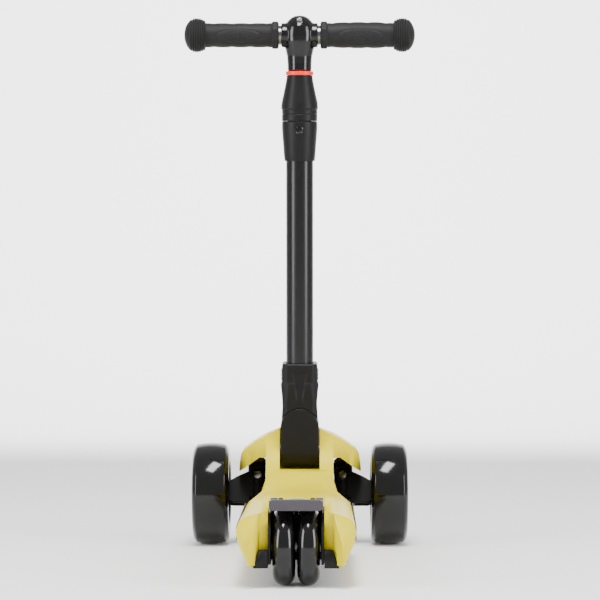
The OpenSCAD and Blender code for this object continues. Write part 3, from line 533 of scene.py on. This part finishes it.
def bevelled(node, width):
    """The node with each edge sharper than 30 degrees bevelled by width, in metres."""
    obj = solid_copy(node, "fine_" + node)
    edge = obj.modifiers.new("edge", "BEVEL")
    edge.width, edge.segments, edge.limit_method, edge.angle_limit = width, 2, "ANGLE", math.radians(30)
    edge.use_clamp_overlap = True
    shade = obj.modifiers.new("shade", "WEIGHTED_NORMAL")
    shade.keep_sharp = False
    shade.weight = 100
    return dressed(settled(obj), node)


def moulded(node, cell, passes):
    """The node rebuilt from cubes of that size, then smoothed: each point moves half way
    to the mean of its neighbours, that many times."""
    obj = solid_copy(node, "moulded_" + node)
    cubes = obj.modifiers.new("cubes", "REMESH")
    cubes.mode, cubes.voxel_size = "VOXEL", cell
    soft = obj.modifiers.new("soft", "SMOOTH")
    soft.factor, soft.iterations = 0.5, passes
    return dressed(settled(obj), node)


# %% [markdown]
# ## The thick mouldings
# Bracket, sleeve, knuckles, beam, pedal, head and wheel well are thick castings with no
# sharp corner anywhere. Bevels on so many meeting edges would tangle, so these are
# rebuilt from cubes of about a millimetre, and smoothed. Cubes cost triangles, so
# each piece has the coarsest cube that keeps its details.

# %% The thick mouldings
MOULDED = {
    "stem_bracket": (0.0008, 4), "release_sleeve": (0.0008, 3),
    "knuckle_left": (0.0008, 4), "knuckle_right": (0.0008, 4), "steering_beam": (0.0010, 3),
    "brake_pedal": (0.0008, 3), "t_head": (0.0007, 7), "rear_frame": (0.0011, 2),
}
for node, (cell, passes) in MOULDED.items():
    piece = moulded(node, cell, passes)
    print(piece.name, len(piece.data.polygons))

# %% [markdown]
# ## The deck, the hardware and the plain parts
# The yellow shell is big and made of flat facets that meet at clear creases. Cubes would
# leave steps on them, so it keeps its own faces and has its edges cut by 1.2 mm. Screws,
# pins, cores and tubes are turned or pressed: their faces are true, and only their edges
# are broken, by a third to two thirds of a millimetre. Weighted normals keep the flats
# looking flat beside the narrow bevels.

# %% The deck, the hardware and the plain parts
BEVELS = {
    "deck_shell": 0.0012, "deck_base": 0.0006, "deck_screws": 0.0004, "side_trims": 0.0004,
    "rear_axle": 0.0004, "rear_axle_nuts": 0.0006, "rear_spacers": 0.0003,
    "brake_hinge_pin": 0.0004, "hinge_base": 0.0007,
    "hinge_bolts": 0.0005, "hinge_pin": 0.0005, "beam_bolts": 0.0005, "kingpins": 0.0007,
    "kingpin_nuts": 0.0006, "centring_buffers": 0.0007, "knuckle_screw_left": 0.0006,
    "knuckle_screw_right": 0.0006, "front_axle_left": 0.0005, "front_axle_right": 0.0005,
    "tie_rod": 0.0006, "tie_rod_pins": 0.0004, "front_core_left": 0.0006, "front_core_right": 0.0006,
    "front_bearings_left": 0.0003, "front_bearings_right": 0.0003, "rear_core_left": 0.0006,
    "rear_core_right": 0.0006, "rear_bearings_left": 0.0003, "rear_bearings_right": 0.0003,
    "brake_pad": 0.0004, "bracket_screws": 0.0004, "lower_collar": 0.0007, "fold_latch": 0.0003,
    "height_button": 0.0003, "inner_tube": 0.0003, "main_tube": 0.0003, "t_head_screw": 0.0004,
    "handle_tubes": 0.0003,
    "snap_button_left": 0.0006, "snap_button_right": 0.0006,
}
for node, width in BEVELS.items():
    bevelled(node, width)
print("bevelled:", len(BEVELS))


# %% [markdown]
# ## Round pieces
# A wheel, a tube or a collar is one outline carried round an axis. The outline is a
# closed loop of points, so the surface closes on itself both ways and needs no caps.

# %% Outlines and turning
def softened(corners, radii, steps=6):
    """A closed outline whose corners are rounded. Each corner P is cut back by its
    radius along both sides to A and B, and the quadratic curve
    (1-t)(1-t)A + 2t(1-t)P + ttB takes its place."""
    p = np.asarray(corners, float)
    r = np.broadcast_to(np.asarray(radii, float), len(p))[:, None]
    before, after = np.roll(p, 1, 0) - p, np.roll(p, -1, 0) - p
    size_b = np.linalg.norm(before, axis=1, keepdims=True)
    size_a = np.linalg.norm(after, axis=1, keepdims=True)
    a = p + before / size_b * np.minimum(r, size_b * 0.48)
    b = p + after / size_a * np.minimum(r, size_a * 0.48)
    t = np.linspace(0, 1, steps)[None, :, None]
    curve = (1 - t) ** 2 * a[:, None] + 2 * t * (1 - t) * p[:, None] + t**2 * b[:, None]
    return curve.reshape(-1, 2)


def turned_x(name, outline, centre, steps=160):
    """A loop of (radius, place along X) carried round an axis along X: the point at
    angle a is centre + (x, r cos a, r sin a)."""
    a = np.linspace(0, 2 * math.pi, steps, endpoint=False)[:, None]
    r, x = outline[None, :, 0], outline[None, :, 1]
    y, z = centre[1] + r * np.cos(a), centre[2] + r * np.sin(a)
    points = np.stack(np.broadcast_arrays(x + centre[0], y, z), -1)
    return outwards(grid_surface(name, points))


# %% [markdown]
# ## The stem's own directions
# The stem leans back by four degrees. Pieces on it are easiest to think of in its own
# directions, side, fore and up from the fold pivot, and are then turned into the
# scooter's frame as their points are made, so the finished object itself stays unturned.

# %% The stem's directions
PIVOT = np.array([0, 0.1605, 0.1155])
RAKE = math.radians(4)
STEM_UP = np.array([0, -math.sin(RAKE), math.cos(RAKE)])
STEM_FORE = np.array([0, math.cos(RAKE), math.sin(RAKE)])


def on_stem(x, y, s):
    """The place of a point at x, y across the stem and s up it, measured from the fold
    pivot: pivot + x side + y fore + s up."""
    x, y, s = np.broadcast_arrays(x, y, s)
    side = np.array([1.0, 0, 0])
    return PIVOT + x[..., None] * side + y[..., None] * STEM_FORE + s[..., None] * STEM_UP


def turned_stem(name, outline, steps=128):
    """A loop of (radius, height) carried round the stem's axis."""
    a = np.linspace(0, 2 * math.pi, steps, endpoint=False)[:, None]
    r, s = outline[None, :, 0], outline[None, :, 1]
    return outwards(grid_surface(name, on_stem(r * np.cos(a), r * np.sin(a), s)))


# %% [markdown]
# ## Upper collar and red ring
# The collar is a cone with a rounded flank and one thin groove near its foot.
# The ring sits on its top. Both are turned, so both are one closed outline: radius and
# height at each corner, each with the radius that rounds it.

# %% Upper collar and ring
MM = 0.001
COLLAR_LO = 383.2          # millimetres up the stem from the fold pivot
BORE_R = 13.9              # clears the sliding tube
RING_LO, RING_HI, RING_R = 433.9, 438.6, 16.05
collar = turned_stem("upper_cone", softened(
    [(r * MM, (COLLAR_LO + s) * MM) for r, s in (
        (BORE_R, -1.9), (20.2, -1.9), (20.5, -1.6), (20.5, 5.2), (20.1, 5.6), (20.1, 6.2),
        (20.5, 6.6), (20.5, 11.2), (21.4, 12.2), (21.0, 19), (19.4, 26), (17.8, 33.4),
        (16.4, 40.4), (15.2, 47), (15.0, 50.4), (BORE_R, 50.4))],
    [x * MM for x in (0.2, 0.6, 0.6, 0.2, 0.2, 0.2, 0.2, 0.5, 0.6, 3, 3, 3, 3, 2, 0.5, 0.2)]))
dressed(collar, "upper_collar")
ring = turned_stem("red_ring", softened(
    [(r * MM, s * MM) for r, s in (
        (BORE_R, RING_LO), (RING_R, RING_LO), (RING_R, RING_HI), (BORE_R, RING_HI))], 0.8 * MM))
dressed(ring, "accent_ring")
print("stem pieces:", collar.name, ring.name)


# %% [markdown]
# ## Front tyres
# A front tyre is wide and nearly flat across, with round shoulders. A plain torus would
# be far too round. The lesser of two curves gives the tread, a shallow crown and a
# quarter circle at the shoulder, and the walls drop straight from it.

# %% Front tyres
FRONT_AXLE_X, FRONT_AXLE_Y, FRONT_AXLE_Z = 0.105, 0.2125, 0.06
def front_tyre_outline(half=21.5, crown=75.0, top=60.0, shoulder=11.0, inner=38.0, count=72):
    """Across the tread, the radius is the lesser of a shallow crown and the shoulder's
    quarter circle; the walls then drop straight, with a shallow groove, to the seat."""
    x = half * np.sin(np.linspace(-math.pi / 2, math.pi / 2, count))
    flank = np.clip(np.abs(x) - (half - shoulder), 0, shoulder)
    across = top - crown + np.sqrt(crown**2 - x**2)
    r = np.minimum(across, top - shoulder + np.sqrt(shoulder**2 - flank**2))
    tread = np.stack([r, x], 1)
    wall = [(46.0, 0.0), (44.6, 0.0), (44.2, 0.5), (43.2, 0.5), (42.8, 0.0), (39.0, 0.0),
            (38.4, 0.3), (inner, 1.2)]
    right = np.array([(r0, half - d) for r0, d in wall])
    left = np.array([(r0, -half + d) for r0, d in reversed(wall)])
    return np.concatenate([tread, right, left]) * MM


for side, place_x in (("left", -FRONT_AXLE_X), ("right", FRONT_AXLE_X)):
    centre = (place_x, FRONT_AXLE_Y, FRONT_AXLE_Z)
    tyre = turned_x("front_tread_" + side, front_tyre_outline(), centre, 192)
    dressed(tyre, "front_tyre_" + side)
print("front tyre quads:", len(tyre.data.polygons))


# %% [markdown]
# ## Rear tyres
# The twin rear tyres are narrow and fully round, so their outline is a half circle that
# two short walls close at the core.

# %% Rear tyres
REAR_AXLE_Y, REAR_AXLE_Z = -0.2275, 0.04
def rear_tyre_outline(half=11.5, middle=28.5, inner=22.5, count=64):
    """A half circle of radius half round the middle radius, closed by two short walls."""
    a = np.linspace(-math.pi / 2, math.pi / 2, count)
    tread = np.stack([middle + half * np.cos(a), half * np.sin(a)], 1)
    seat = np.array([(inner + 1, half), (inner, half - 1), (inner, 1 - half), (inner + 1, -half)])
    return np.concatenate([tread, seat]) * MM


for side, place_x in (("left", -0.0125), ("right", 0.0125)):
    tyre = turned_x("rear_tread_" + side, rear_tyre_outline(), (place_x, REAR_AXLE_Y, REAR_AXLE_Z))
    dressed(tyre, "rear_tyre_" + side)
print("rear tyre quads:", len(tyre.data.polygons))


# %% [markdown]
# ## Hub caps
# A cap snaps over each axle's end. It is a shallow turned cup with a rolled rim and one
# ring round its middle. The same outline serves both sides: the left one has its places
# along the axle negated, and its faces are then turned outwards again.

# %% Hub caps
for side, sign in (("left", -1), ("right", 1)):
    centre = (sign * FRONT_AXLE_X, FRONT_AXLE_Y, FRONT_AXLE_Z)
    cap_outline = softened([(r * MM, sign * x * MM) for r, x in (
        (0, 19.2), (12.6, 19.2), (12.6, 14.1), (15.8, 14.1), (15.8, 19.8), (14.6, 20.8), (11.2, 20.8),
        (10.6, 20.2), (9.8, 20.2), (9.2, 20.8), (0, 21.0))],
        [x * MM for x in (0, 0.3, 0.3, 0.3, 0.6, 0.6, 0.3, 0.3, 0.3, 0.3, 0)], 4)
    dressed(turned_x("hub_cap_" + side, cap_outline, centre, 96), "front_cap_" + side)
print("hub caps ready")


# %% [markdown]
# ## Handlebar grips
# Each grip is a rubber sleeve: a flange by the head, a waved grasp with a raised oval
# pad, and a ribbed ball at the end. Seen as a surface, it is a radius that depends on
# the place along the grip and the angle round it, so waves, pad and ribs are simply
# added to that radius.

# %% Grips
BAR_UP = 480               # millimetres from the fold pivot to the bar
GRIP_FRAME = PIVOT + BAR_UP * MM * STEM_UP
GRIP_IN = 24.0             # the flange's distance from the middle


def bump_window(value, low, high, soft):
    """1 between low and high, falling smoothly to 0 over soft on both sides."""
    t = np.clip(np.minimum(value - low, high - value) / soft + 0.5, 0, 1)
    return t * t * (3 - 2 * t)


def grip_radius(s, angle, bulge):
    """Radius in mm at s mm from the flange and an angle from the rear face. The flange
    is a softened octagon; the grasp is a cylinder with a finger wave every 21 mm above
    and below, swells by bulge in its middle, and has an ellipse on the rear that stands
    proud with a lattice of ridges; the ball is two half ellipses, crossed by six narrow
    grooves before it closes."""
    eighth = (angle + math.pi / 8) % (math.pi / 4) - math.pi / 8
    flange = bump_window(s, 0.7, 7.6, 1.4) * (15.7 / np.cos(eighth * 0.92) - 14.0)
    x = np.where(s < 95, (s - 95) / 19.0, (s - 95) / 14.05)
    ball = 20.0 * np.sqrt(np.clip(1 - x**2, 0, 1))
    grooves = sum(np.exp(-(((s - g) / 0.62) ** 2)) for g in (86.9, 89.5, 92.1, 94.7, 97.3, 99.9))
    edge = np.sin(angle) ** 2
    wave = np.abs(np.cos(math.pi * (s - 12) / 21.0)) ** 6
    fingers = -0.55 * wave * edge * bump_window(s, 12, 80, 6)
    oval = ((s - 46) / 25) ** 2 + ((angle * 14.0 + 1.5) / 8.0) ** 2
    pad = np.clip((1.0 - oval) * 4.0, 0, 1)
    rim = np.exp(-(((oval - 1.12) / 0.12) ** 2))
    lattice = 0.30 * np.maximum(np.cos((s + angle * 14) * 1.6), np.cos((s - angle * 14) * 1.6))
    body = 14.0 + bulge * bump_window(s, 20, 74, 26) + flange
    body = body + fingers + pad * (0.35 + lattice) - 0.35 * rim * bump_window(s, 14, 78, 4)
    end = bump_window(s, 84.6, 400.0, 1.6)
    return body * (1 - end) + (ball - 1.25 * grooves) * end


def grip_surface(side, bulge, rows=224, columns=330):
    """The outer skin runs from the flange to the ball's pole, then comes back along the
    bore from the bore's flat end; the loop round the handle closes at every row."""
    pole = 104 + 5.0 * np.sin(np.linspace(0.1, 1, 12) * math.pi / 2)
    s = np.concatenate([[0, 0], np.linspace(0.0, 104.0, columns), pole, [102, 102]])
    angle = np.linspace(-math.pi, math.pi, rows, endpoint=False)
    grid_s, grid_a = np.meshgrid(s, angle)
    r = grip_radius(grid_s, grid_a, bulge)
    r[:, 0], r[:, 1] = 11.2, 13.5
    r[:, -3], r[:, -2], r[:, -1] = 0.01, 0.01, 11.2
    x = side * (GRIP_IN + grid_s)
    back, up = -STEM_FORE, STEM_UP
    points = (GRIP_FRAME + (x * MM)[..., None] * np.array([1.0, 0, 0])
              + (r * np.cos(grid_a) * MM)[..., None] * back + (r * np.sin(grid_a) * MM)[..., None] * up)
    name = "grip_left_sleeve" if side < 0 else "grip_right_sleeve"
    return outwards(grid_surface(name, points))


for side, node, bulge in ((-1, "grip_left", 0.0), (1, "grip_right", 1.1)):
    grip = dressed(grip_surface(side, bulge), node)
print("grip quads:", len(grip.data.polygons))


# %% [markdown]
# ## What stays as it was designed
# The brake spring is a wire and the bush a plain ring: both are right as they are, so
# they keep their designed meshes and only get their finish, through the object's own
# material slots.

# %% Finishes on what stays as it is
shown = [o for o in NODES.values() if not o.hide_render]
for obj in shown:
    for entry in obj.material_slots:
        entry.link = "OBJECT"
        entry.material = FINISH[SLOT_OF[obj.name]]
print("kept solids:", sorted(o.name for o in shown))
